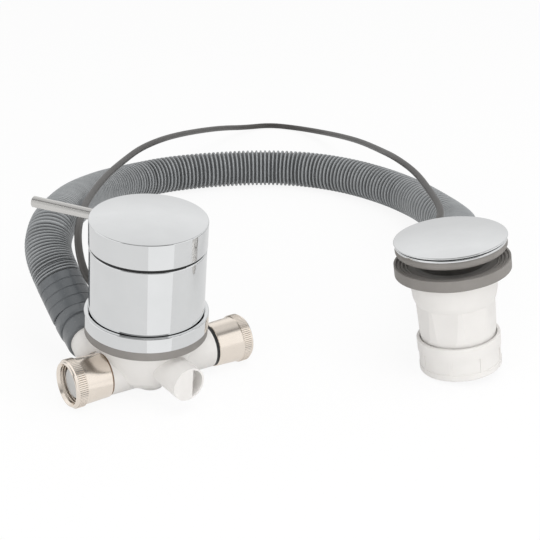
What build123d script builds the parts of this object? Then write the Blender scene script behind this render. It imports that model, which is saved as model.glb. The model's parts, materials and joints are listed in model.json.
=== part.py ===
from build123d import *
from math import cos, sin, tan, radians, degrees, acos
import os

# Bath overflow filler head, corrugated hose, control cable and pop-up waste, in millimetres.
# Each half is drawn about its own axis with the rim plane at zero, then stood where it rests on the floor.

# where the two halves stand
head_x = -72.2
head_y = -35.12
head_lean = (5.58, 3.62)
halves_apart = 184.77
waste_y = -1.73
waste_rise = 91.27
waste_lean = 7.3

# clearances
running = 0.06
axial_play = 0.1
stem_play = 0.3

# knob and drum
knob_r = 36.0
knob_h = 16.7
knob_dome = 1.8
knob_skirt = 2.4
knob_cavity = 10.2
lever_r = 3.5
lever_depth = 5.6
lever_yaw = 160.0
lever_reach = 77.5
lever_root = 22.0
spindle_r = 5.0
spindle_top = 10.6
hub_r = 9.0
glide_h = 1.6
glide_set_in = 1.4
glide_width = 7.6
drum_r = 35.7
drum_wall = 2.0
drum_top = knob_h + glide_h
drum_h = 42.8
drum_lid = 3.0
bush_r = 7.0

# flange, gasket and body of the head
flange_r = 38.5
flange_top = drum_top + drum_h
flange_floor = flange_top + 5.9
flange_bottom = flange_top + 9.4
flange_gap = 0.7
passage_r = 22.0
gasket_r = 38.2
gasket_h = 5.7
gasket_bottom = flange_bottom + gasket_h
screw_gap = 1.6
screw_r = 2.0
screw_play = 0.2
screw_head_r = 3.6
screw_ring = drum_r - drum_wall - screw_head_r - screw_gap
screw_tip = gasket_bottom + 6.0
bowl_r = 34.5
crank_top = gasket_bottom + 2.8
crank_h = 4.0
crank_gap = 0.6
crank_yaw = 110.0
crank_reach = 15.0
post_r = 8.5
foot_r = 8.3
foot_at = (3.5, -2.0)
foot_drop = 13.6
edge_round = 0.7

# inlets
arm_drop = 24.8
arm_depth = gasket_bottom + arm_drop
chamber_floor = arm_depth - 4.0
arm_yaw = 33.54
arm_r = 13.5
arm_left = 28.8
arm_right = 45.0
seal_left = 0.83
seal_right = 2.2
tail_r = 9.5
tail_bore = 7.0
tail_in = 12.0
tail_flange_r = 11.7
tail_flange_h = 2.5
nut_length = 25.1
nut_lip = 3.0
nut_thread_r = 12.06
nut_thread_in = 7.7
nut_thread_out = 23.6
nut_r = 15.2
washer_h = 2.0

# spigot and outlet
spigot_r = 10.9
spigot_yaw = -52.6
spigot_depth = arm_depth - 10.0
spigot_reach = 48.2
spigot_wall = 1.2
spigot_chord = 2.6
spigot_pocket = 7.0
stub_r = 12.0
stub_bore = 9.5
stub_yaw = 113.5
stub_rise = 3.8
stub_depth = arm_depth - 6.0
stub_mouth = (-37.8, 15.5, -stub_depth)
stub_in_cuff = 14.0

# cuffs, hose and cable
cuff_r = 15.6
collar_r = (13.7, 14.6)
collar_at = (6.5, 13.0)
cuff_bend = 24.0
cuff_lead = (-0.44, 0.63, 0.64)
cuff_reach = 37.0
cuff_round = 30.0
hose_d = 31.0
hose_bore = 26.0
cable_d = 5.0
gland_r = 3.6
gland_shank_r = 3.0
gland_collar_r = 5.0
gland_seat = 0.5
gland_steps = (22.0, 12.0, 8.0)
head_gland_mouth = (-103.0, 6.0, 43.0)
head_gland_way = (-0.736, 0.298, 0.607)

# waste
plug_r = 35.8
plug_dome = 2.0
plug_edge = 1.3
seal_h = 0.75
seal_gap = 0.05
rim_set_in = 0.8
rim_r = plug_r - rim_set_in
rim_top = plug_edge + seal_h + seal_gap
rim_h = 1.2
neck_r = 24.0
neck_bore = 21.5
neck_bottom = 31.0
upper_gasket_r = rim_r + 0.3
upper_gasket_bottom = 8.4
lower_gasket_r = 36.9
lower_gasket_top = 14.9
lower_gasket_edge = 21.9
body_top = 24.6
body_r = 28.3
flats_top = 42.0
flats_bottom = 68.0
flats_apothem = 23.7
flats_turn = -1.0
flats_r = 25.2
thread_r = 23.6
pipe_r = 20.6
pipe_room = 1.0
pipe_stop = 1.6
tube_bottom = 80.0
socket_top = 61.0
body_bore = neck_bore
waste_nut_top = 66.0
waste_nut_bottom = 88.6
waste_nut_r = 26.9
waste_nut_low_r = 26.4
nut_mouth_r = 24.9
washer_bottom = 84.0
panel_count = 8
panel_turn = 2.0
panel_span = 40.6
panel_top = 74.5
panel_bottom = 84.3
panel_sink = 0.55
stem_r = 3.0
stem_top = 1.2
stem_bottom = 40.0
boss_r = 5.5
rocker_arm = 17.0
rocker_dip = 16.0
rocker_tip_r = 1.5
rocker_w = 6.0
pin_r = 1.5
pin_half = 15.0
waste_stub_depth = 45.0
waste_cuff = (34.0, 78.73)
waste_gland_mouth = (-13.5, 42.9, -28.9)
waste_gland_way = (0.12, 0.98, 0.2)
rocker_t = 1.6
spoke_count = 4

# the head rests on its inlet nuts
head_rise = arm_depth * cos(radians(head_lean[0])) * cos(radians(head_lean[1])) + nut_r
head_place = Location((head_x, head_y, head_rise), (head_lean[0], head_lean[1], 0))
waste_x = head_x + halves_apart
waste_place = Location((waste_x, waste_y, waste_rise), (0, -waste_lean, 0))

standing = (Align.CENTER, Align.CENTER, Align.MIN)


def turned(start, *moves):
    edges = []
    here = start
    for move in moves:
        if isinstance(move[0], tuple):
            mid, end = move
            edges.append(ThreePointArc((here[0], 0, here[1]), (mid[0], 0, mid[1]), (end[0], 0, end[1])))
            here = end
        else:
            edges.append(Line((here[0], 0, here[1]), (move[0], 0, move[1])))
            here = move
    edges.append(Line((here[0], 0, here[1]), (start[0], 0, start[1])))
    return revolve(make_face(edges), Axis.Z)


def rounded(a, corner, b):
    mid = tuple(c + 0.29289 * (p + q - 2 * c) for p, c, q in zip(a, corner, b))
    return mid, b


def outer_edge(r, z, size):
    inward = (r - size, z)
    down = (r, z - size)
    return inward, rounded(inward, (r, z), down)


def under_edge(r, z, size):
    side = (r, z + size)
    return side, rounded(side, (r, z), (r - size, z))


def ring(outer, inner, top, bottom):
    return turned((inner, -top), (outer, -top), (outer, -bottom), (inner, -bottom))


def rod(start, way, r, a, b):
    start = Vector(*start)
    way = Vector(*way).normalized()
    return Plane(start + way * a, z_dir=way) * Cylinder(r, b - a, align=standing)


def heading(yaw, rise=0.0):
    flat = cos(radians(rise))
    return Vector(cos(radians(yaw)) * flat, sin(radians(yaw)) * flat, sin(radians(rise)))


def upright(r, top, bottom):
    return Pos(0, 0, -bottom) * Cylinder(r, bottom - top, align=standing)


def gland(mouth, way):
    shape = rod(mouth, way, gland_shank_r, -gland_steps[0], -gland_steps[1])
    shape += rod(mouth, way, gland_collar_r, -gland_steps[1], -gland_steps[2])
    return shape + rod(mouth, way, gland_r, -gland_steps[2], 0)


def around_z(shape, count, first=0.0):
    return [Rot(0, 0, first + i * 360 / count) * shape for i in range(count)]


nodes = {}
head = {}
waste = {}

# knob, its rod and the spindle
lever_way = heading(lever_yaw)
lever_start = Vector(0, 0, -lever_depth)
rim_in, rim_round = outer_edge(knob_r, 0.0, edge_round)
skirt_side, skirt_round = under_edge(knob_r, -knob_h, edge_round)
knob = turned((0, knob_dome), ((knob_r / 2, knob_dome * 0.76), rim_in), rim_round,
              skirt_side, skirt_round, (knob_r - knob_skirt, -knob_h),
              (knob_r - knob_skirt, -knob_cavity), (hub_r, -knob_cavity), (hub_r, -knob_h + axial_play),
              (spindle_r, -knob_h + axial_play), (spindle_r, -spindle_top), (0, -spindle_top))
head["control_knob"] = knob - rod(lever_start, lever_way, lever_r, lever_root, knob_r + 2)
lever = rod(lever_start, lever_way, lever_r, lever_root, lever_reach)
head["knob_lever"] = chamfer(lever.edges().filter_by(GeomType.CIRCLE), 0.4)
head["spindle"] = upright(spindle_r, spindle_top, chamber_floor - 1.0 - axial_play)

# glide ring, drum and bush
glide_r = knob_r - glide_set_in
head["glide_ring"] = ring(glide_r, glide_r - glide_width, knob_h + axial_play, drum_top)
lid_bottom = drum_top + drum_lid
drum_inside = drum_r - drum_wall
head["drum_cover"] = turned((bush_r, -drum_top), *outer_edge(drum_r, -drum_top, edge_round),
                            (drum_r, -flange_floor), (drum_inside, -flange_floor),
                            (drum_inside, -lid_bottom), (bush_r, -lid_bottom))
bush_bore = spindle_r + running
bush_bottom = lid_bottom + 2.5
head["spindle_bush"] = turned((bush_bore, -drum_top), (bush_r, -drum_top), (bush_r, -lid_bottom),
                              (bush_r + 4, -lid_bottom), (bush_r + 4, -bush_bottom),
                              (bush_bore, -bush_bottom))

# flange, screws and gasket
well_r = drum_r + flange_gap
flange = turned((passage_r, -flange_floor), (well_r, -flange_floor), (well_r, -flange_top),
                *outer_edge(flange_r, -flange_top, edge_round), (flange_r, -flange_bottom),
                (passage_r, -flange_bottom))
screw_axis = Pos(screw_ring, 0, 0)
screw_hole = screw_axis * upright(screw_r + screw_play, flange_floor - 1, gasket_bottom + 1)
screw_body = screw_axis * upright(screw_r, flange_floor, screw_tip)
screw_head = screw_axis * upright(screw_head_r, flange_floor - 2.4, flange_floor)
screw_slot = screw_axis * Pos(0, 0, -flange_floor + 2.2) * Box(8, 0.9, 1.2)
screws = around_z(screw_body + screw_head - screw_slot, 3, 75)
head["base_flange"] = flange - around_z(screw_hole, 3, 75)
head["flange_screws"] = Compound(children=screws)
gasket = ring(gasket_r, passage_r, flange_bottom, gasket_bottom)
head["overflow_gasket"] = gasket - around_z(screw_hole, 3, 75)

# filler body
arm_way = heading(arm_yaw)
arm_start = Vector(0, 0, -arm_depth)
stub_way = heading(stub_yaw, stub_rise)
stub_elbow = Vector(*stub_mouth) - stub_way * 12
spigot_way = heading(spigot_yaw)
spigot_side = heading(spigot_yaw + 90)
spigot_start = Vector(0, 0, -spigot_depth)
bowl = turned((0, -gasket_bottom), (bowl_r, -gasket_bottom), (bowl_r, -gasket_bottom - 1.5),
              ((29.5, 13.5 - arm_depth), (24.0, -1.5 - arm_depth)),
              ((17.5, -8.0 - arm_depth), (8.0, -10.8 - arm_depth)), (0, -10.8 - arm_depth))
arms = rod(arm_start, arm_way, arm_r, -arm_left, arm_right)
elbow_way = Vector(0, 3, 3 - stub_depth) - stub_elbow
elbow = rod(stub_elbow, elbow_way, stub_r, 0, elbow_way.length)
stub = rod(stub_mouth, stub_way, stub_r, -13, stub_in_cuff)
knuckle = Pos(*stub_elbow) * Sphere(stub_r)
spigot = rod(spigot_start, spigot_way, spigot_r, 5, spigot_reach)
foot = Pos(foot_at[0], foot_at[1], 0) * upright(foot_r, arm_depth + 3, arm_depth + foot_drop)
body = bowl + arms + elbow + knuckle + stub + spigot + foot
body -= upright(passage_r, gasket_bottom, chamber_floor)
body += upright(post_r, crank_top + crank_h + crank_gap, chamber_floor)
body -= upright(spindle_r + running, gasket_bottom, chamber_floor - 1)
body -= rod(stub_elbow, elbow_way, 7.5, -2, elbow_way.length - 12)
body -= rod(stub_mouth, stub_way, stub_bore, -13, stub_in_cuff + 1)
body -= rod(arm_start, arm_way, tail_bore, -arm_left - 1, -15)
body -= rod(arm_start, arm_way, tail_bore, 13, arm_right + 1)
body -= rod(arm_start, arm_way, tail_r, -arm_left - 1, -arm_left + tail_in)
body -= rod(arm_start, arm_way, tail_r, arm_right - tail_in, arm_right + 1)
body -= rod(arm_start, arm_way, nut_r + 0.6, -arm_left - 40, -arm_left)
pocket_r = spigot_r - spigot_wall
pocket = rod(spigot_start, spigot_way, pocket_r, spigot_reach - spigot_pocket, spigot_reach + 1)
spigot_face = Plane(spigot_start + spigot_way * spigot_reach, x_dir=spigot_side, z_dir=spigot_way)
body -= pocket - spigot_face * Pos(spigot_chord - 15, 0, 0) * Box(30, 30, 40)
for screw in around_z(screw_body, 3, 75):
    body -= screw

# cable crank on the spindle
crank_turn = Rot(0, 0, crank_yaw)
crank_arm = crank_turn * Pos(crank_reach / 2, 0, -crank_top - crank_h / 2) * Box(crank_reach, 7, crank_h)
crank_eye = crank_turn * Pos(crank_reach, 0, 0) * upright(3.5, crank_top, crank_top + crank_h)
crank_hole = crank_turn * Pos(crank_reach, 0, 0) * upright(1.2, crank_top - 1, crank_top + crank_h + 1)
crank = upright(8.0, crank_top, crank_top + crank_h) + crank_arm + crank_eye - crank_hole
head["cable_crank"] = crank - upright(spindle_r, crank_top - 1, crank_top + crank_h + 1)

# inlet tails, washers, seals and nuts, drawn along z from the shoulder of each arm
for side, reach, low, sign in (("left", arm_left, seal_left, -1), ("right", arm_right, seal_right, 1)):
    place = Location(Plane(arm_start + arm_way * (sign * reach), z_dir=arm_way * sign))
    flange_at = low + nut_lip + axial_play
    washer_at = flange_at + tail_flange_h
    tail = turned((tail_bore, -tail_in), (tail_r, -tail_in), (tail_r, flange_at), (tail_flange_r, flange_at),
                  (tail_flange_r, washer_at), (tail_bore, washer_at))
    washer = ring(tail_flange_r, tail_bore, -washer_at - washer_h, -washer_at)
    seal = ring(arm_r, tail_r, -low + running, 0)
    end = low + nut_length
    seat_r = tail_flange_r + running
    nut = turned((tail_r + running, low), (nut_r - 1.5, low), (nut_r - 1.1, low + 0.4),
                 (nut_r - 0.5, end - 7.7), (nut_r, end - 7.3), (nut_r, end - 1.9), (nut_r - 0.9, end - 1.2),
                 (nut_r - 0.9, end - 0.5), (nut_r - 1.3, end), (nut_thread_r + 1.2, end),
                 (nut_thread_r, low + nut_thread_out), (nut_thread_r, low + nut_thread_in),
                 (seat_r, low + nut_thread_in), (seat_r, low + nut_lip), (tail_r + running, low + nut_lip))
    head["inlet_tail_" + side] = place * tail
    head["inlet_washer_" + side] = place * washer
    head["nut_seal_" + side] = place * seal
    head["inlet_nut_" + side] = place * nut

head["filler_body"] = body
for name, shape in head.items():
    nodes[name] = head_place * shape

# plug, seal and stem
waste["plug_cap"] = turned((0, plug_dome), ((plug_r / 2, plug_dome * 0.76), (plug_r - 0.6, 0.1)),
                           ((plug_r - 0.1, -0.15), (plug_r, -0.4)),
                           ((plug_r - 0.2, -0.9), (plug_r - 0.8, -plug_edge)), (boss_r, -plug_edge),
                           (boss_r, -9.0), (stem_r, -9.0), (stem_r, -stem_top), (0, -stem_top))
waste["plug_seal"] = ring(33.6, 24.5, plug_edge, plug_edge + seal_h)
waste["plug_stem"] = upright(stem_r, stem_top, stem_bottom)

# flange with its neck and guide
rim_bottom = rim_top + rim_h
rim = turned((neck_bore, -rim_top), *outer_edge(rim_r, -rim_top, rim_h / 2), (rim_r, -rim_bottom),
             (neck_r, -rim_bottom), (neck_r, -neck_bottom), (neck_bore, -neck_bottom))
guide = upright(6.5, 16, 26)
spoke = Pos((neck_bore + 1) / 2, 0, -21) * Box(neck_bore + 1, 2.6, 6)
rim = rim + guide + around_z(spoke, spoke_count, 45)
waste["waste_flange"] = rim - upright(stem_r + running, 10, neck_bottom)
gasket_mid = (rim_bottom + upper_gasket_bottom) / 2
gasket_foot = (upper_gasket_r - 1.6, -upper_gasket_bottom)
waste["flange_gasket"] = turned((neck_r, -rim_bottom), (upper_gasket_r - 0.9, -rim_bottom),
                                ((upper_gasket_r, -gasket_mid), gasket_foot), (neck_r, -upper_gasket_bottom))
top = -lower_gasket_top
waste["body_gasket"] = turned((neck_r, top - 2.9), (28.2, top - 2.9), (29.0, top - 1.6), (29.6, top - 2.4),
                              (30.4, top - 2.4), (31.2, top - 1.2), (31.8, top - 2.0), (32.6, top - 2.0),
                              (33.4, top - 0.7), (34.0, top - 1.5), (34.9, top - 1.5), (35.7, top),
                              (lower_gasket_r, top), (lower_gasket_r, -lower_gasket_edge),
                              (31.2, -body_top), (neck_r, -body_top))

# waste body
shell = turned((0, -body_top), (body_r, -body_top), (body_r - 1.2, -35.0),
               ((body_r - 1.9, -39.0), (flats_r, -flats_top)), (flats_r - 0.5, -flats_bottom + 10),
               ((flats_r - 0.8, -flats_bottom + 5), (thread_r, -flats_bottom)),
               (thread_r, -tube_bottom), (0, -tube_bottom))
octagon = extrude(RegularPolygon(flats_apothem, 8, major_radius=False), 60)
octagon = Pos(0, 0, -flats_top - 60) * Rot(0, 0, flats_turn) * octagon
upper = upright(40, body_top, flats_top)
waste_body = shell & (upper + octagon)
waste_stub_at = (0, 0, -waste_stub_depth)
waste_body += rod(waste_stub_at, (0, 1, 0), stub_r, 10, 48)
waste_body += rod(waste_gland_mouth, waste_gland_way, gland_collar_r + 0.6, -24, -gland_steps[1])
waste_body -= upright(neck_r, body_top - 1, neck_bottom)
waste_body -= upright(body_bore, body_top - 1, socket_top - 4)
waste_body -= upright(pipe_r - pipe_stop, socket_top - 5, tube_bottom + 1)
waste_body -= upright(pipe_r, socket_top, tube_bottom + 1)
waste_body -= rod(waste_stub_at, (0, 1, 0), stub_bore, 0, 49)
waste_body -= rod(waste_gland_mouth, waste_gland_way, gland_shank_r, -30, -gland_steps[1] + 1)
pivot_depth = stem_bottom + stem_play + rocker_tip_r - rocker_arm * sin(radians(rocker_dip))
pivot = (-rocker_arm, 0, -pivot_depth)
waste_body -= rod(pivot, (0, 1, 0), pin_r, -pin_half, pin_half)
waste["waste_body"] = waste_body

# lift rocker on its pin
waste["rocker_pin"] = rod(pivot, (0, 1, 0), pin_r, -pin_half, pin_half)
tilt = Pos(*pivot) * Rot(0, rocker_dip, 0)
rocker = Pos(rocker_arm / 2, 0, 0) * Box(rocker_arm, rocker_w, rocker_t)
rocker += Pos(rocker_arm, 0, 0) * Rot(90, 0, 0) * Cylinder(rocker_tip_r, rocker_w)
rocker += Rot(90, 0, 0) * Cylinder(3.0, rocker_w)
rocker -= Rot(90, 0, 0) * Cylinder(pin_r + running, rocker_w + 2)
waste["lift_rocker"] = tilt * rocker

# waste nut with recessed panels, and its washer
nut_way_r = pipe_r + pipe_room
nut_mouth = waste_nut_top + 2.5
nut = turned((nut_mouth_r, -waste_nut_top), *outer_edge(waste_nut_r, -waste_nut_top, 0.8),
             *under_edge(waste_nut_low_r, -waste_nut_bottom, 1.0), (nut_way_r, -waste_nut_bottom),
             (nut_way_r, -washer_bottom), (thread_r, -washer_bottom), (thread_r, -nut_mouth),
             (nut_mouth_r, -nut_mouth))
panel_r = (waste_nut_r + waste_nut_low_r) / 2 - panel_sink
panel_edge = Polyline((panel_r, 0, -panel_top), (30, 0, -panel_top), (30, 0, -panel_bottom),
                      (panel_r, 0, -panel_bottom), close=True)
panel = Rot(0, 0, -panel_span / 2) * revolve(make_face(panel_edge), Axis.Z, panel_span)
for cut in around_z(panel, panel_count, panel_turn):
    nut -= cut
waste["waste_nut"] = nut
waste["nut_washer"] = ring(thread_r, nut_way_r, tube_bottom, washer_bottom)

# hose cuff and cable gland of the waste
cuff = rod(waste_stub_at, (0, 1, 0), collar_r[1], waste_cuff[0], waste_cuff[0] + 7)
cuff += rod(waste_stub_at, (0, 1, 0), cuff_r, waste_cuff[0] + 7, waste_cuff[1])
waste["hose_cuff_waste"] = cuff - rod(waste_stub_at, (0, 1, 0), stub_r, 0, waste_cuff[1] + 1)
waste["cable_gland_waste"] = gland(waste_gland_mouth, waste_gland_way)
for name, shape in waste.items():
    nodes[name] = waste_place * shape

# hose and cable: the ends sit on the cuffs and glands, and the right half of each route goes with the waste
stub_a = (head_place * Pos(*stub_mouth)).position
stub_b = (head_place * Pos(*(Vector(*stub_mouth) + stub_way))).position
out_way = (stub_b - stub_a).normalized()
cuff_corner = stub_a + out_way * cuff_bend
lead = Vector(*cuff_lead).normalized()
cuff_end = cuff_corner + lead * cuff_reach
waste_end = (waste_place * Pos(0, waste_cuff[1], -waste_stub_depth)).position
waste_way = ((waste_place * Pos(0, waste_cuff[1] + 1, -waste_stub_depth)).position - waste_end).normalized()
hose_points = [cuff_end, cuff_end + lead * 15]
hose_points += [Vector(*p) for p in (
    (-147.4, 63.5, 73.4), (-146.0, 95.0, 69.7), (-147.0, 138.0, 60.4), (-147.4, 183.0, 49.9),
    (-144.3, 235.0, 37.4), (-136.3, 286.0, 25.9), (-119.8, 329.0, 16.7), (-89.8, 354.0, 15.5),
    (-49.8, 367.0, 15.5), (-5.8, 373.5, 15.5))]
hose_points += [Vector(waste_x + p[0], p[1], p[2]) for p in (
    (-78.37, 367.5, 15.5), (-42.37, 348.5, 15.5), (-11.37, 318.5, 15.5), (10.63, 284.0, 16.1),
    (18.63, 238.0, 23.9), (26.63, 193.0, 30.9), (29.13, 148.0, 38.9))]
hose_points += [waste_end + waste_way * 24, waste_end]
cable_start = Vector(*head_gland_mouth)
cable_points = [cable_start, cable_start + Vector(*head_gland_way).normalized() * 17]
cable_points += [Vector(*p) for p in (
    (-122.5, 20.0, 66.0), (-126.0, 36.0, 78.5), (-127.6, 72.0, 80.8), (-128.4, 122.0, 75.0),
    (-124.0, 190.0, 68.4), (-116.2, 247.3, 62.2), (-107.7, 292.5, 58.0), (-94.1, 337.5, 52.1),
    (-80.3, 387.7, 41.9), (-63.6, 445.0, 28.5), (-46.4, 493.5, 16.6),
    (-25.5, 537.5, 4.2), (0.0, 552.0, 2.6))]
cable_points += [Vector(waste_x + p[0], p[1], p[2]) for p in (
    (-85.47, 541.0, 2.7), (-61.97, 504.4, 9.2), (-45.57, 454.2, 20.2), (-30.47, 392.3, 33.5),
    (-18.57, 328.6, 45.5), (-10.37, 267.0, 58.0), (0.93, 213.0, 62.9), (6.43, 154.5, 65.8),
    (8.73, 111.5, 68.5), (2.63, 83.6, 67.9))]
gland_in = Vector(*waste_gland_mouth)
gland_out = gland_in + Vector(*waste_gland_way).normalized() * 22
cable_points += [(waste_place * Pos(*gland_out)).position, (waste_place * Pos(*gland_in)).position]


def cord(points, d, bore, name):
    radii = []
    for a, b, c in zip(points, points[1:], points[2:]):
        one = b - a
        two = c - b
        turn = acos(max(-1.0, min(1.0, one.normalized().dot(two.normalized()))))
        radii.append(0.45 * min(one.length, two.length) / tan(turn / 2))
    line = FilletPolyline(*points, radius=radii)
    section = Circle(d / 2)
    if bore:
        section -= Circle(bore / 2)
    tube = sweep(Plane(points[0], z_dir=points[1] - points[0]) * section, path=line)
    ratio = tube.volume / (section.area * line.length)
    print(name, "length", round(line.length, 1), "volume over section x length", round(ratio, 4))
    print("   radii", [round(r) for r in radii])
    return tube


nodes["overflow_hose"] = cord(hose_points, hose_d, hose_bore, "hose")
nodes["control_cable"] = cord(cable_points, cable_d, 0, "cable")

# hose cuff and cable gland of the head
sleeve_start = stub_a + out_way * collar_at[1]
cuff_line = FilletPolyline(sleeve_start, cuff_corner, cuff_end, radius=cuff_round)
cuff = sweep(Plane(sleeve_start, z_dir=out_way) * Circle(cuff_r), path=cuff_line)
cuff += rod(stub_a, out_way, collar_r[0], 0, collar_at[0])
cuff += rod(stub_a, out_way, collar_r[1], collar_at[0], collar_at[1])
cuff -= sweep(Plane(sleeve_start, z_dir=out_way) * Circle(stub_r), path=cuff_line)
nodes["hose_cuff_head"] = cuff - rod(stub_a, out_way, stub_r, -1, collar_at[1])
nodes["cable_gland_head"] = gland(head_gland_mouth, head_gland_way)
nodes["filler_body"] -= rod(head_gland_mouth, head_gland_way, gland_shank_r, -34, -gland_steps[1])
seat_r = gland_collar_r + gland_seat
nodes["filler_body"] -= rod(head_gland_mouth, head_gland_way, seat_r, -gland_steps[1], 12)

# the frame's origin is below the middle of everything but the cords
cords = ("overflow_hose", "control_cable")
boxes = [shape.bounding_box() for name, shape in nodes.items() if name not in cords]
low = Vector(min(b.min.X for b in boxes), min(b.min.Y for b in boxes), min(b.min.Z for b in boxes))
high = Vector(max(b.max.X for b in boxes), max(b.max.Y for b in boxes), max(b.max.Z for b in boxes))
shift = Vector(-(low.X + high.X) / 2, -(low.Y + high.Y) / 2, -low.Z)
print("shift", shift, "size", high - low)
os.makedirs("parts", exist_ok=True)
for name, shape in nodes.items():
    shape = Pos(*shift) * shape
    export_step(shape, "parts/" + name + ".step")

# places that the record repeats
left_reach = arm_left + seal_left + nut_length
right_reach = arm_right + seal_right + nut_length
for name, place, point, way in (
        ("knob axis", head_place, (0, 0, -knob_h), (0, 0, 1)),
        ("plug axis", waste_place, (0, 0, 0), (0, 0, 1)),
        ("rocker pivot", waste_place, pivot, (0, 1, 0)),
        ("left nut mouth", head_place, arm_start - arm_way * left_reach, -arm_way),
        ("right nut mouth", head_place, arm_start + arm_way * right_reach, arm_way),
        ("pipe socket mouth", waste_place, (0, 0, -waste_nut_bottom), (0, 0, -1)),
        ("gasket face", waste_place, (0, 0, -upper_gasket_bottom), (0, 0, -1))):
    a = (place * Pos(*point)).position
    b = (place * Pos(*(Vector(*point) + Vector(*way)))).position
    print(name, [round(v, 3) for v in (a + shift)], [round(v, 5) for v in (b - a)])
for name, points in (("hose", hose_points), ("cable", cable_points)):
    print(name, [tuple(round(v, 2) for v in (p + shift)) for p in points])
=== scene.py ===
import bpy
import json
import math
from mathutils import Vector, Matrix


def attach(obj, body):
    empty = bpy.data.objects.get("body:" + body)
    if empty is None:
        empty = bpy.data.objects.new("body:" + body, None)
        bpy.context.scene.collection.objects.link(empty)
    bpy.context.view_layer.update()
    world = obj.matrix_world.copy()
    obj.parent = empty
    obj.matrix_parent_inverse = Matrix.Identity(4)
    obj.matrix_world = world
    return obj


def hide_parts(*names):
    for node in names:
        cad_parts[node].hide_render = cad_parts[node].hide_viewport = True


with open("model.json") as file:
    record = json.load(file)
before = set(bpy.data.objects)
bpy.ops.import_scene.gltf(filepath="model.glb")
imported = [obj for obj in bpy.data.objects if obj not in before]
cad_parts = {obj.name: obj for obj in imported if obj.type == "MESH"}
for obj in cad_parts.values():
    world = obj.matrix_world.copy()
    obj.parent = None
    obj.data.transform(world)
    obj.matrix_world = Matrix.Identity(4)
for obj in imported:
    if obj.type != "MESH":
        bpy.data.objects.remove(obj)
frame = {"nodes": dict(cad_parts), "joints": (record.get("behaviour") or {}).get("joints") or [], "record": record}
nodes = frame["nodes"]
joints = {j["name"]: j for j in frame["joints"]}
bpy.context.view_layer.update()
scene = bpy.context.scene


# shared helpers

def mm(*values):
    return tuple(v / 1000 for v in values)


def newTree(owner):
    owner.use_nodes = True
    tree = owner.node_tree
    tree.nodes.clear()
    return tree


def add(tree, kind, settings=None, **sockets):
    node = tree.nodes.new(kind)
    for key, value in (settings or {}).items():
        setattr(node, key, value)
    for key, value in sockets.items():
        node.inputs[key.replace("_", " ")].default_value = value
    return node


def link(tree, source, out, target, into):
    tree.links.new(source.outputs[out], target.inputs[into])


def math2(tree, operation, a=None, b=None, value=None):
    node = add(tree, "ShaderNodeMath", {"operation": operation})
    if a:
        link(tree, a[0], a[1], node, 0)
    if b:
        link(tree, b[0], b[1], node, 1)
    if value is not None:
        node.inputs[1].default_value = value
    return node


def mapRange(tree, source, out, span, to=(0.0, 1.0), blend="LINEAR"):
    band = add(tree, "ShaderNodeMapRange", {"interpolation_type": blend})
    for label, value in zip(("From Min", "From Max", "To Min", "To Max"), (*span, *to)):
        band.inputs[label].default_value = value
    link(tree, source, out, band, "Value")
    return band


# finishes, one for each slot of the record

noise = {"band": (0.3, 0.7), "patchScale": 60, "patchDetail": 4.0, "grainDetail": 3.0}
finishLooks = {  # name, darkest and lightest patch, roughness, grain scale, bump in metres, metal
    "chrome": ("brightChrome", (0.76, 0.77, 0.775), (0.79, 0.80, 0.805), (0.03, 0.05), 60, 0.000001, 1.0),
    "satin_steel": ("satinSteel", (0.69, 0.68, 0.66), (0.74, 0.73, 0.71), (0.20, 0.27), 1500, 0.0000004, 1.0),
    "nickel": ("warmNickel", (0.92, 0.835, 0.745), (0.96, 0.875, 0.785), (0.17, 0.24), 1800, 0.0000004, 1.0),
    "white_plastic": ("whitePlastic", (0.735, 0.72, 0.70), (0.765, 0.75, 0.73), (0.34, 0.46), 900, 0.00002),
    "grey_plastic": ("hoseGrey", (0.205, 0.215, 0.222), (0.245, 0.255, 0.262), (0.30, 0.42), 1100, 0.00002),
    "dark_plastic": ("cableSheath", (0.05, 0.047, 0.044), (0.064, 0.06, 0.056), (0.32, 0.45), 1400, 0.00004),
    "grey_rubber": ("gasketGrey", (0.205, 0.194, 0.181), (0.243, 0.229, 0.215), (0.50, 0.65), 1300, 0.00005),
    "black_rubber": ("blackRubber", (0.010, 0.010, 0.010), (0.016, 0.016, 0.016), (0.45, 0.6), 1300, 0.00005),
    "pale_rubber": ("paleRubber", (0.50, 0.50, 0.49), (0.56, 0.56, 0.55), (0.45, 0.6), 1300, 0.00004),
    "brown_fibre": ("brownFibre", (0.16, 0.09, 0.045), (0.22, 0.13, 0.07), (0.6, 0.75), 2000, 0.00006),
}


def noiseField(tree, scale, detail):
    place = add(tree, "ShaderNodeTexCoord")
    field = add(tree, "ShaderNodeTexNoise", Scale=scale, Detail=detail)
    link(tree, place, "Object", field, "Vector")
    return field


def patchColour(tree, dark, light):
    patches = noiseField(tree, noise["patchScale"], noise["patchDetail"])
    ramp = add(tree, "ShaderNodeValToRGB")
    for stop, place, colour in zip(ramp.color_ramp.elements, noise["band"], (dark, light)):
        stop.position = place
        stop.color = (*colour, 1)
    link(tree, patches, "Fac", ramp, "Fac")
    return ramp


def surface(name, dark, light, rough, grainScale, bumpDepth, metal=0.0):
    material = bpy.data.materials.new(name)
    tree = newTree(material)
    shader = add(tree, "ShaderNodeBsdfPrincipled", Metallic=metal)
    output = add(tree, "ShaderNodeOutputMaterial")
    link(tree, shader, "BSDF", output, "Surface")
    link(tree, patchColour(tree, dark, light), "Color", shader, "Base Color")
    grain = noiseField(tree, grainScale, noise["grainDetail"])
    link(tree, mapRange(tree, grain, "Fac", noise["band"], rough), "Result", shader, "Roughness")
    bump = add(tree, "ShaderNodeBump", Strength=1.0, Distance=bumpDepth)
    link(tree, grain, "Fac", bump, "Height")
    link(tree, bump, "Normal", shader, "Normal")
    return material


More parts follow.
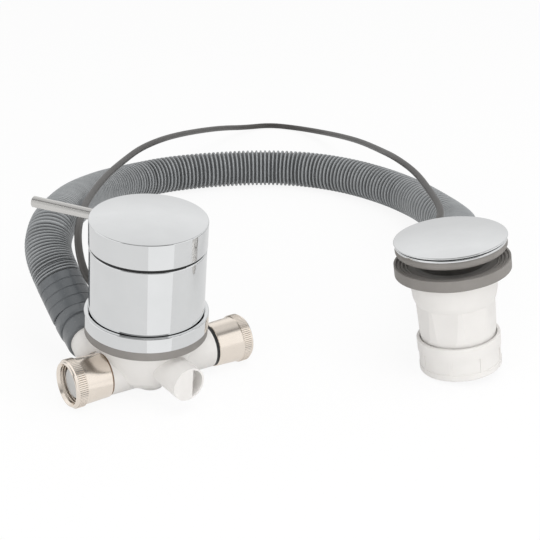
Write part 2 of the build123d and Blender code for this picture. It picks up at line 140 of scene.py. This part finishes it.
def shadePaintedFinish(slot, name, band, shades):  # painted shade in the grooves and painted highlight on the crests: base colour scaled by the ribCrest attribute
    material = finishes[slot].copy()
    material.name = name
    tree = material.node_tree
    shader = next(n for n in tree.nodes if n.type == "BSDF_PRINCIPLED")
    plain = shader.inputs["Base Color"].links[0].from_node
    crest = add(tree, "ShaderNodeAttribute", {"attribute_name": "ribCrest"})
    mix = add(tree, "ShaderNodeVectorMath", {"operation": "SCALE"})
    link(tree, plain, "Color", mix, 0)
    link(tree, mapRange(tree, crest, "Fac", band, shades), "Result", mix, "Scale")
    link(tree, mix, "Vector", shader, "Base Color")
    return material


finishes = {slot: surface(*look) for slot, look in finishLooks.items()}
slotOf = {s["node"]: s["material_slot"] for s in frame["record"]["subparts"]}
for name, node in nodes.items():
    node.data.materials.clear()
    node.data.materials.append(finishes[slotOf[name]])
print("finishes:", len(finishes))


# geometry node helpers

def newGroup(name, inputs):
    group = bpy.data.node_groups.new(name, "GeometryNodeTree")
    group.interface.new_socket("Geometry", in_out="INPUT", socket_type="NodeSocketGeometry")
    for label, kind in inputs:
        group.interface.new_socket(label, in_out="INPUT", socket_type="NodeSocket" + kind)
    group.interface.new_socket("Geometry", in_out="OUTPUT", socket_type="NodeSocketGeometry")
    return group, group.nodes.new("NodeGroupInput"), group.nodes.new("NodeGroupOutput")


def setInputs(modifier, values):
    for item in modifier.node_group.interface.items_tree:
        if item.in_out == "INPUT" and item.name in values:
            modifier[item.identifier] = values[item.name]


def store(group, geometry, out, value, valueOut, name):
    node = add(group, "GeometryNodeStoreNamedAttribute", {"data_type": "FLOAT", "domain": "POINT"}, Name=name)
    link(group, geometry, out, node, "Geometry")
    link(group, value, valueOut, node, "Value")
    return node


def recall(group, name):
    return add(group, "GeometryNodeInputNamedAttribute", {"data_type": "FLOAT"}, Name=name)


def evenRings(group, start):
    resample = add(group, "GeometryNodeResampleCurve", {"mode": "COUNT"})
    link(group, start, "Geometry", resample, "Curve")
    link(group, start, "Rings", resample, "Count")
    return resample


def shareAlong(group, along, places, sharp=False):
    share = add(group, "ShaderNodeFloatCurve")
    curve = share.mapping.curves[0]
    curve.points[0].location = places[0]
    curve.points[1].location = places[-1]
    for place in places[1:-1]:
        curve.points.new(*place)
    if sharp:
        for point in curve.points:
            point.handle_type = "VECTOR"
    share.mapping.update()
    link(group, along, "Factor", share, "Value")
    return share


def sweep(group, start, line):  # a tube whose radius at each ring is the stored ribRadius
    ring = add(group, "GeometryNodeCurvePrimitiveCircle", Radius=1.0)
    link(group, start, "Sides", ring, "Resolution")
    tube = add(group, "GeometryNodeCurveToMesh", Fill_Caps=True)
    link(group, line, "Geometry", tube, "Curve")
    link(group, ring, "Curve", tube, "Profile Curve")
    link(group, recall(group, "ribRadius"), "Attribute", tube, "Scale")
    return tube


def smoothed(group, tube):
    smooth = add(group, "GeometryNodeSetShadeSmooth")
    link(group, tube, "Mesh", smooth, "Geometry")
    return smooth


def closeTree(group, source, out, start, end):
    real = add(group, "GeometryNodeRealizeInstances")
    link(group, source, out, real, "Geometry")
    finish = add(group, "GeometryNodeSetMaterial")
    link(group, real, "Geometry", finish, "Geometry")
    link(group, start, "Finish", finish, "Material")
    link(group, finish, "Geometry", end, "Geometry")
    return finish


def bake(carrier, group, values, name):
    modifier = carrier.modifiers.new("shape", "NODES")
    modifier.node_group = group
    setInputs(modifier, values)
    shaped = carrier.evaluated_get(bpy.context.evaluated_depsgraph_get())
    mesh = bpy.data.meshes.new_from_object(shaped)
    bpy.data.objects.remove(carrier)
    piece = bpy.data.objects.new(name, mesh)
    scene.collection.objects.link(piece)
    print(name + ":", len(mesh.polygons), "faces")
    return piece


def emptyCarrier(name):
    carrier = bpy.data.objects.new(name, bpy.data.meshes.new(name))
    scene.collection.objects.link(carrier)
    return carrier


# routes of the cords and the cuff

routeSteps = 12  # straight steps between two points of a route


def routeCurve(name, route):
    curve = bpy.data.curves.new(name, "CURVE")
    curve.dimensions = "3D"
    curve.resolution_u = routeSteps
    spline = curve.splines.new("NURBS")
    spline.points.add(len(route) - 1)
    for point, place in zip(spline.points, route):
        point.co = (*mm(*place), 1)
    spline.order_u = 3
    spline.use_endpoint_u = True
    piece = bpy.data.objects.new(name, curve)
    scene.collection.objects.link(piece)
    return piece


def routePoints(piece):
    line = bpy.data.meshes.new_from_object(piece)
    points = [tuple(v.co) for v in line.vertices]
    bpy.data.meshes.remove(line)
    return points


def lineLength(points):
    return sum((Vector(b) - Vector(a)).length for a, b in zip(points, points[1:]))


# corrugated hose

hose = {
    "route": [(-139.79, 31.22, 53.11), (-146.39, 40.67, 62.71), (-145.56, 60.47, 73.47),
              (-144.16, 91.97, 69.77), (-145.16, 134.97, 60.47), (-145.56, 179.97, 49.97),
              (-142.46, 231.97, 37.47), (-134.46, 282.97, 25.97), (-117.96, 325.97, 16.77),
              (-87.96, 350.97, 15.57), (-47.96, 363.97, 15.57), (-3.96, 370.47, 15.57),
              (36.04, 364.47, 15.57), (72.04, 345.47, 15.57), (103.04, 315.47, 15.57),
              (125.04, 280.97, 16.17), (133.04, 234.97, 23.97), (141.04, 189.97, 30.97),
              (143.54, 144.97, 38.97), (120.13, 97.97, 46.71), (120.13, 73.97, 46.71)],
    "radius": 0.0155,
    "grooveDepth": 0.0018,
    "widestRib": 0.0078,
    "ribShare": [(0, 0.25), (0.022, 0.26), (0.04, 0.35), (0.075, 0.61), (0.12, 0.71), (0.28, 0.71),
                 (0.36, 0.60), (0.42, 0.51), (0.66, 0.51), (0.70, 0.54), (0.74, 0.69), (0.78, 0.94),
                 (0.83, 0.94), (0.87, 0.64), (0.92, 0.52), (1, 0.40)],  # along the hose, share of the widest
    "crestBand": (-0.55, 0.75),  # of the rib's wave
    # low and high scale of the base colour: painted shade in the grooves, painted highlight on the crests
    "paintedShadeScale": (0.28, 1.42),
    "rings": 2400,
    "sides": 32,
}


def ribbedTube():
    group, start, end = newGroup("ribbedTube", [("Widest Rib", "Float"), ("Crest Radius", "Float"),
                                                ("Groove Depth", "Float"), ("Rings", "Int"),
                                                ("Sides", "Int"), ("Finish", "Material")])
    length = add(group, "GeometryNodeCurveLength")
    link(group, start, "Geometry", length, "Curve")
    step = math2(group, "DIVIDE", (length, "Length"), (start, "Rings"))
    along = add(group, "GeometryNodeSplineParameter")
    share = shareAlong(group, along, hose["ribShare"])
    pitch = math2(group, "MULTIPLY", (share, "Value"), (start, "Widest Rib"))
    turn = math2(group, "DIVIDE", (step, "Value"), (pitch, "Value"))
    turns = add(group, "GeometryNodeAccumulateField", {"data_type": "FLOAT", "domain": "POINT"})
    link(group, turn, "Value", turns, 0)
    angle = math2(group, "MULTIPLY", (turns, "Leading"), value=math.tau)
    wave = math2(group, "COSINE", (angle, "Value"))
    crest = mapRange(group, wave, "Value", hose["crestBand"], blend="SMOOTHSTEP")
    dip = math2(group, "SUBTRACT", b=(crest, "Result"))
    dip.inputs[0].default_value = 1.0
    depth = math2(group, "MULTIPLY", (dip, "Value"), (start, "Groove Depth"))
    radius = math2(group, "SUBTRACT", (start, "Crest Radius"), (depth, "Value"))
    sized = store(group, evenRings(group, start), "Curve", radius, "Value", "ribRadius")
    # ribCrest marks the crests; the rib finish paints shade in the grooves and a highlight on the crests from it
    marked = store(group, sized, "Geometry", crest, "Result", "ribCrest")
    closeTree(group, smoothed(group, sweep(group, start, marked)), "Geometry", start, end)
    return group


# hose rib finish with painted shade in the grooves and painted highlight on the crests
ribShadePaintedFinish = shadePaintedFinish("grey_plastic", "hoseRibsShadePainted", (0.0, 1.0), hose["paintedShadeScale"])
hoseLine = routeCurve("hoseLine", hose["route"])
hosePath = routePoints(hoseLine)
hosePiece = bake(hoseLine, ribbedTube(),
                 {"Widest Rib": hose["widestRib"], "Crest Radius": hose["radius"], "Rings": hose["rings"],
                  "Groove Depth": hose["grooveDepth"], "Sides": hose["sides"], "Finish": ribShadePaintedFinish},
                 "corrugated_hose")
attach(hosePiece, "frame")
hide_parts("overflow_hose")


# stepped cuff of the hose at the head: distance along it and radius in mm

cuff = {
    "route": [(-112.82, -16.62, 24.54), (-120.23, 0.38, 27.93), (-123.51, 7.91, 29.43),
              (-127.19, 13.17, 34.78), (-139.79, 31.22, 53.11)],
    "collars": [(0.0, 12.4), (0.4, 13.5), (2.0, 13.9), (12.0, 14.1), (13.6, 13.7), (14.0, 12.8), (14.8, 12.8),
                (15.2, 14.2), (17.0, 14.8), (26.0, 15.0), (28.0, 14.5), (28.4, 13.2), (29.4, 13.2),
                (29.8, 14.9), (31.0, 15.2)],
    "grooves": {"count": 3, "from": 36.7, "every": 6.5, "radius": 15.3, "widens": 0.1, "depth": 0.5,
                "edge": 0.3, "floor": 0.4},
    "ribs": [(56.0, 15.6), (56.6, 13.8), (57.2, 13.8), (57.8, 15.5), (58.4, 15.5), (58.9, 13.8), (59.4, 13.8),
             (59.9, 15.5), (60.5, 15.5), (61.0, 13.8), (61.5, 13.8), (62.0, 15.5), (62.5, 15.5),
             (62.9, 13.8), (63.2, 13.8), (63.6, 15.5)],  # up to the hose
    "ribsFrom": 0.885,
    "crestBand": (0.88, 0.97),  # of the widest radius; sets the painted shade in the grooves of the ribs near the hose
    "rings": 700,
    "sides": 64,
    "look": ("cuffGrey", (0.113, 0.122, 0.130), (0.134, 0.143, 0.151), (0.20, 0.28), 700, 0.00001),
}


def cuffProfile():
    cut = cuff["grooves"]
    profile = list(cuff["collars"])
    for k in range(cut["count"]):
        s, r = cut["from"] + k * cut["every"], cut["radius"] + k * cut["widens"]
        bottom = r - cut["depth"]
        profile += [(s, r), (s + cut["edge"], bottom), (s + cut["edge"] + cut["floor"], bottom),
                    (s + 2 * cut["edge"] + cut["floor"], r)]
    return profile + cuff["ribs"]


def steppedTube(profile, widest):
    group, start, end = newGroup("steppedTube", [("Rings", "Int"), ("Sides", "Int"), ("Largest", "Float"),
                                                 ("Ribs From", "Float"), ("Finish", "Material"),
                                                 ("Rib Finish", "Material")])
    along = add(group, "GeometryNodeSplineParameter")
    reach = profile[-1][0]
    share = shareAlong(group, along, [(s / reach, r / widest) for s, r in profile], sharp=True)
    radius = math2(group, "MULTIPLY", (share, "Value"), (start, "Largest"))
    # radius share stored as ribCrest, which the rib finish turns into painted shade in the rib grooves
    crest = mapRange(group, share, "Value", cuff["crestBand"])
    ribs = math2(group, "GREATER_THAN", (along, "Factor"), (start, "Ribs From"))
    sized = store(group, evenRings(group, start), "Curve", radius, "Value", "ribRadius")
    marked = store(group, sized, "Geometry", crest, "Result", "ribCrest")
    split = store(group, marked, "Geometry", ribs, "Value", "onRibs")
    finish = closeTree(group, smoothed(group, sweep(group, start, split)), "Geometry", start, end)
    ribFinish = add(group, "GeometryNodeSetMaterial")
    link(group, finish, "Geometry", ribFinish, "Geometry")
    link(group, recall(group, "onRibs"), "Attribute", ribFinish, "Selection")
    link(group, start, "Rib Finish", ribFinish, "Material")
    link(group, ribFinish, "Geometry", end, "Geometry")
    return group


cuffShape = cuffProfile()
cuffWidest = max(r for s, r in cuffShape)
cuffPiece = bake(routeCurve("cuffLine", cuff["route"]), steppedTube(cuffShape, cuffWidest),
                 {"Rings": cuff["rings"], "Sides": cuff["sides"], "Largest": cuffWidest / 1000,
                  "Ribs From": cuff["ribsFrom"], "Finish": surface(*cuff["look"]),
                  "Rib Finish": ribShadePaintedFinish},
                 "stepped_cuff")
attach(cuffPiece, "frame")
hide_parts("hose_cuff_head")


# control cable

cable = {
    "route": [(-101.16, 2.97, 43.07), (-113.68, 8.04, 53.4), (-120.66, 16.97, 66.07),
              (-124.16, 32.97, 78.57), (-125.76, 68.97, 80.87), (-126.56, 118.97, 75.07),
              (-122.16, 186.97, 68.47), (-114.36, 244.27, 62.27), (-105.86, 289.47, 58.07),
              (-92.26, 334.47, 52.17), (-78.46, 384.67, 41.97), (-61.76, 441.97, 28.57),
              (-44.56, 490.47, 16.67), (-23.66, 534.47, 4.27), (1.84, 548.97, 2.67),
              (28.94, 537.97, 2.77), (52.44, 501.37, 9.27), (68.84, 451.17, 20.27),
              (83.94, 389.27, 33.57), (95.84, 325.57, 45.57), (104.04, 263.97, 58.07),
              (115.34, 209.97, 62.97), (120.84, 151.47, 65.87), (123.14, 108.47, 68.57),
              (117.04, 80.57, 67.97), (106.74, 59.54, 65.63), (104.69, 38.14, 60.96)],
    "radius": 0.0025,
    "roundness": 6,
}
cablePiece = routeCurve("bowden_cable", cable["route"])
cablePath = routePoints(cablePiece)
cablePiece.data.bevel_depth = cable["radius"]
cablePiece.data.bevel_resolution = cable["roundness"]
cablePiece.data.use_fill_caps = True
cablePiece.data.materials.append(finishes["dark_plastic"])
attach(cablePiece, "frame")
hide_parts("control_cable")
print("cords:", round(lineLength(hosePath), 3), "m hose,", round(lineLength(cablePath), 3), "m cable")


# knurl, thread and strainer cup of the inlet nuts

# the last two knurl entries set the painted shade at the foot of each ridge, between the ridges
knurl = {"count": 73, "radius": 0.01508, "height": 0.00045, "width": 0.0011, "length": 0.0052,
         "fromMouth": 0.0046, "crestBand": (0.25, 0.8), "paintedShadeScale": (0.30, 1.0)}
thread = {"radius": 0.01212, "wire": 0.00034, "turns": 8.0, "length": 0.0150, "fromMouth": 0.0172,
          "stepsPerTurn": 48, "wireSides": 6}
strainer = {"radius": 0.0100, "fromMouth": 0.0042, "length": 0.0134, "chamfer": 0.0008, "sides": 64}


def knurlBand():
    group, start, end = newGroup("knurlBand", [("Count", "Int"), ("Radius", "Float"), ("Ridge", "Vector"),
                                               ("Finish", "Material")])
    circle = add(group, "GeometryNodeMeshCircle")
    link(group, start, "Count", circle, "Vertices")
    link(group, start, "Radius", circle, "Radius")
    ridge = add(group, "GeometryNodeMeshCylinder", Vertices=3, Radius=1.0, Depth=1.0)
    place = add(group, "GeometryNodeInputPosition")
    part = add(group, "ShaderNodeSeparateXYZ")
    link(group, place, "Position", part, "Vector")
    # height across the ridge, stored for the painted shade at the foot of each ridge
    marked = store(group, ridge, "Mesh", part, "X", "ribCrest")
    shaped = add(group, "GeometryNodeTransform")
    link(group, marked, "Geometry", shaped, "Geometry")
    link(group, start, "Ridge", shaped, "Scale")
    facing = add(group, "FunctionNodeAlignRotationToVector", {"axis": "X"})
    link(group, place, "Position", facing, "Vector")
    copies = add(group, "GeometryNodeInstanceOnPoints")
    link(group, circle, "Mesh", copies, "Points")
    link(group, shaped, "Geometry", copies, "Instance")
    link(group, facing, "Rotation", copies, "Rotation")
    closeTree(group, copies, "Instances", start, end)
    return group


def helixThread():
    group, start, end = newGroup("helixThread", [("Radius", "Float"), ("Wire", "Float"), ("Turns", "Float"),
                                                 ("Length", "Float"), ("Finish", "Material")])
    helix = add(group, "GeometryNodeCurveSpiral", Resolution=thread["stepsPerTurn"])
    link(group, start, "Turns", helix, "Rotations")
    link(group, start, "Radius", helix, "Start Radius")
    link(group, start, "Radius", helix, "End Radius")
    link(group, start, "Length", helix, "Height")
    wire = add(group, "GeometryNodeCurvePrimitiveCircle", Resolution=thread["wireSides"])
    link(group, start, "Wire", wire, "Radius")
    tube = add(group, "GeometryNodeCurveToMesh", Fill_Caps=True)
    link(group, helix, "Curve", tube, "Curve")
    link(group, wire, "Curve", tube, "Profile Curve")
    closeTree(group, smoothed(group, tube), "Geometry", start, end)
    return group


def strainerCup(name):
    r, edge, sides = strainer["radius"], strainer["chamfer"], strainer["sides"]
    outline = [(r - edge, 0.0), (r, -edge), (r, -strainer["length"])]  # from the flat end at the mouth
    points = [(0, 0, 0)]
    faces = []
    for k in range(sides):
        turn = math.tau * k / sides
        points += [(d * math.cos(turn), d * math.sin(turn), h) for d, h in outline]
        a, b = 1 + 3 * k, 1 + 3 * ((k + 1) % sides)
        faces += [(0, a, b), (a, a + 1, b + 1, b), (a + 1, a + 2, b + 2, b + 1)]
    faces.append([3 + 3 * k for k in reversed(range(sides))])
    mesh = bpy.data.meshes.new(name)
    mesh.from_pydata(points, [], faces)
    mesh.materials.append(finishes["pale_rubber"])
    cup = bpy.data.objects.new(name, mesh)
    scene.collection.objects.link(cup)
    return cup


def intoNut(piece, axis, mouth, depth):  # the piece's z becomes the nut's axis
    turned = axis.normalized().to_track_quat("Z", "Y").to_matrix().to_4x4()
    piece.data.transform(Matrix.Translation(mouth - axis * depth) @ turned)


# nickel with painted shade between the knurl ridges
knurlShadePaintedFinish = shadePaintedFinish("nickel", "knurledNickelShadePainted", knurl["crestBand"], knurl["paintedShadeScale"])
knurlTree = knurlBand()
threadTree = helixThread()
for side in ("left", "right"):
    joint = joints[side + "_nut_turn"]
    axis = Vector(joint["axis"])
    mouth = Vector(joint["pos_m"])
    band = bake(emptyCarrier("band"), knurlTree,
                {"Count": knurl["count"], "Radius": knurl["radius"], "Finish": knurlShadePaintedFinish,
                 "Ridge": (knurl["height"], knurl["width"] / 2, knurl["length"])},
                "nut_knurl_" + side)
    intoNut(band, axis, mouth, knurl["fromMouth"])
    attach(band, side + "_nut")
    helix = bake(emptyCarrier("helix"), threadTree,
                 {"Radius": thread["radius"], "Wire": thread["wire"], "Turns": thread["turns"],
                  "Length": thread["length"], "Finish": finishes["nickel"]},
                 "nut_thread_" + side)
    intoNut(helix, axis, mouth, thread["fromMouth"])
    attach(helix, side + "_nut")
    cup = strainerCup("inlet_strainer_" + side)
    intoNut(cup, axis, mouth, strainer["fromMouth"])
    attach(cup, "frame")


# studio, with a room that only mirrors show

studio = {
    "backdrop": 1.0,
    "ambient": 0.66,
    "ambientTint": (1, 0.99, 0.98),
    "backWall": [(0.0, 0.66), (0.30, 0.80), (0.50, 0.95), (0.68, 0.86), (0.84, 0.62),
                 (0.93, 0.70)],  # height of the ray, shade
    "darkRoom": [(0.0, 0.68), (0.18, 0.60), (0.40, 0.48), (0.50, 0.17), (0.86, 0.17), (0.95, 0.70)],
    "wallEdge": (-0.05, 0.35),  # how far back the ray points where the dark room becomes the back wall
    "softBoxes": {  # degrees right of the front, heights of the ray
        "right": {"from": 48, "to": 104, "low": -0.1, "high": 0.80, "shade": 1.0},
        "left": {"from": -110, "to": -46, "low": -0.1, "high": 0.74, "shade": 1.0},
    },
    "boxBlur": {"degrees": 2, "height": 0.03},
    "floorColour": 0.92,
    "floorGlow": 0.9,
    "floorMirrored": 0.80,
    "floorShade": 0.78,
    "floorSize": 8.0,
    "lamps": {
        "key": {"place": (0.5, -0.3, 1.9), "size": 1.6, "power": 13},
        "fill": {"place": (-0.4, -0.9, 0.35), "size": 1.0, "power": 3},
        "side": {"place": (0.8, -0.7, 0.4), "size": 1.0, "power": 3},
    },
    "lampAim": (0, 0, 0.05),
    "cards": {
        "paleRight": {"corners": [(-0.071, -0.06, 0.0006), (-0.05, -0.42, 0.0006), (0.30, -0.30, 0.0006)],
                      "colour": (1.0, 1.0, 1.0), "strength": 0.98},
    },
}
camera = {"place": mm(1.84, -823.03, 401.69), "pitch": 22.13, "focalPixels": 1400, "framePixels": 540,
          "sensor": 36}
mixUnder, mixOver, mixResult = 6, 7, 2  # the colour sockets of a Mix node


def shadeRamp(tree, source, out, stops):
    ramp = add(tree, "ShaderNodeValToRGB")
    link(tree, source, out, ramp, "Fac")
    places = ramp.color_ramp.elements
    while len(places) < len(stops):
        places.new(0.5)
    for place, (position, shade) in zip(places, stops):
        place.position = position
        place.color = (shade, shade, shade, 1)
    return ramp


def window(tree, source, out, low, high, blur):  # 1 from low to high, soft at both ends
    rise = mapRange(tree, source, out, (low - blur, low + blur), blend="SMOOTHSTEP")
    fall = mapRange(tree, source, out, (high + blur, high - blur), blend="SMOOTHSTEP")
    return math2(tree, "MULTIPLY", (rise, "Result"), (fall, "Result"))


def mirroredRoom(tree):
    ray = add(tree, "ShaderNodeTexCoord")
    part = add(tree, "ShaderNodeSeparateXYZ")
    link(tree, ray, "Generated", part, "Vector")
    behind = mapRange(tree, part, "Y", studio["wallEdge"], blend="SMOOTHSTEP")
    mix = add(tree, "ShaderNodeMix", {"data_type": "RGBA"})
    link(tree, behind, "Result", mix, "Factor")
    link(tree, shadeRamp(tree, part, "Z", studio["darkRoom"]), "Color", mix, mixUnder)
    link(tree, shadeRamp(tree, part, "Z", studio["backWall"]), "Color", mix, mixOver)
    front = math2(tree, "MULTIPLY", (part, "Y"), value=-1.0)
    turn = math2(tree, "ARCTAN2", (part, "X"), (front, "Value"))
    blur = studio["boxBlur"]
    for box in studio["softBoxes"].values():
        across = window(tree, turn, "Value", math.radians(box["from"]), math.radians(box["to"]),
                        math.radians(blur["degrees"]))
        upright = window(tree, part, "Z", box["low"], box["high"], blur["height"])
        inside = math2(tree, "MULTIPLY", (across, "Value"), (upright, "Value"))
        lit = add(tree, "ShaderNodeMix", {"data_type": "RGBA"})
        link(tree, inside, "Value", lit, "Factor")
        link(tree, mix, mixResult, lit, mixUnder)
        lit.inputs[mixOver].default_value = (box["shade"], box["shade"], box["shade"], 1)
        mix = lit
    return mix


def makeWorld():
    world = bpy.data.worlds.new("paleStudio")
    scene.world = world
    tree = newTree(world)
    out = add(tree, "ShaderNodeOutputWorld")
    path = add(tree, "ShaderNodeLightPath")
    seen = add(tree, "ShaderNodeBackground", Color=(1, 1, 1, 1), Strength=studio["backdrop"])
    mirrored = add(tree, "ShaderNodeBackground", Strength=1.0)
    link(tree, mirroredRoom(tree), mixResult, mirrored, "Color")
    light = add(tree, "ShaderNodeBackground", Color=(*studio["ambientTint"], 1), Strength=studio["ambient"])
    glossy = add(tree, "ShaderNodeMixShader")
    mix = add(tree, "ShaderNodeMixShader")
    plain = math2(tree, "MAXIMUM", (path, "Is Camera Ray"), (path, "Is Transmission Ray"))
    link(tree, path, "Is Glossy Ray", glossy, "Fac")
    link(tree, light, "Background", glossy, 1)
    link(tree, mirrored, "Background", glossy, 2)
    link(tree, plain, "Value", mix, "Fac")
    link(tree, glossy, "Shader", mix, 1)
    link(tree, seen, "Background", mix, 2)
    link(tree, mix, "Shader", out, "Surface")


def flatPiece(name, corners):
    mesh = bpy.data.meshes.new(name)
    mesh.from_pydata(corners, [], [tuple(range(len(corners)))])
    obj = bpy.data.objects.new(name, mesh)
    scene.collection.objects.link(obj)
    return obj


def makeFloor():
    half = studio["floorSize"] / 2
    floor = flatPiece("floor", [(-half, -half, 0), (half, -half, 0), (half, half, 0), (-half, half, 0)])
    material = bpy.data.materials.new("paleFloor")
    tree = newTree(material)
    out = add(tree, "ShaderNodeOutputMaterial")
    shade = studio["floorColour"]
    matt = add(tree, "ShaderNodeBsdfDiffuse", Color=(shade, shade, shade, 1))
    glow = add(tree, "ShaderNodeEmission", Color=(1, 1, 1, 1), Strength=1.0)
    dim = add(tree, "ShaderNodeEmission", Color=(1, 1, 1, 1), Strength=studio["floorShade"])
    path = add(tree, "ShaderNodeLightPath")
    own = math2(tree, "MULTIPLY", (path, "Is Camera Ray"), value=studio["floorGlow"])
    mirror = math2(tree, "MULTIPLY", (path, "Is Glossy Ray"), value=studio["floorMirrored"])
    seen = add(tree, "ShaderNodeMixShader")
    link(tree, own, "Value", seen, "Fac")
    link(tree, matt, "BSDF", seen, 1)
    link(tree, glow, "Emission", seen, 2)
    mix = add(tree, "ShaderNodeMixShader")
    link(tree, mirror, "Value", mix, "Fac")
    link(tree, seen, "Shader", mix, 1)
    link(tree, dim, "Emission", mix, 2)
    link(tree, mix, "Shader", out, "Surface")
    floor.data.materials.append(material)


def makeCard(name, spec):  # seen only in mirrors
    card = flatPiece(name, spec["corners"])
    material = bpy.data.materials.new(name)
    tree = newTree(material)
    out = add(tree, "ShaderNodeOutputMaterial")
    glow = add(tree, "ShaderNodeEmission", Color=(*spec["colour"], 1), Strength=spec["strength"])
    link(tree, glow, "Emission", out, "Surface")
    card.data.materials.append(material)
    card.visible_camera = False
    card.visible_diffuse = False
    card.visible_shadow = False
    card.visible_transmission = False


def makeLight(name, spec):
    lamp = bpy.data.lights.new(name, "AREA")
    lamp.shape = "DISK"
    lamp.size = spec["size"]
    lamp.energy = spec["power"]
    obj = bpy.data.objects.new(name, lamp)
    obj.location = spec["place"]
    aim = Vector(studio["lampAim"]) - Vector(spec["place"])
    obj.rotation_euler = aim.to_track_quat("-Z", "Y").to_euler()
    obj.visible_glossy = False  # metal sees the room, not the lamps
    scene.collection.objects.link(obj)


def makeCamera():
    lens = bpy.data.cameras.new("photoCamera")
    lens.sensor_width = camera["sensor"]
    lens.lens = camera["sensor"] * camera["focalPixels"] / camera["framePixels"]
    obj = bpy.data.objects.new("photoCamera", lens)
    obj.location = camera["place"]
    obj.rotation_euler = (math.radians(90 - camera["pitch"]), 0, 0)
    scene.collection.objects.link(obj)
    scene.camera = obj


makeWorld()
makeFloor()
for cardName, cardSpec in studio["cards"].items():
    makeCard(cardName, cardSpec)
for lampName, lampSpec in studio["lamps"].items():
    makeLight(lampName, lampSpec)
makeCamera()
scene.view_settings.view_transform = "Standard"
print("studio ready")
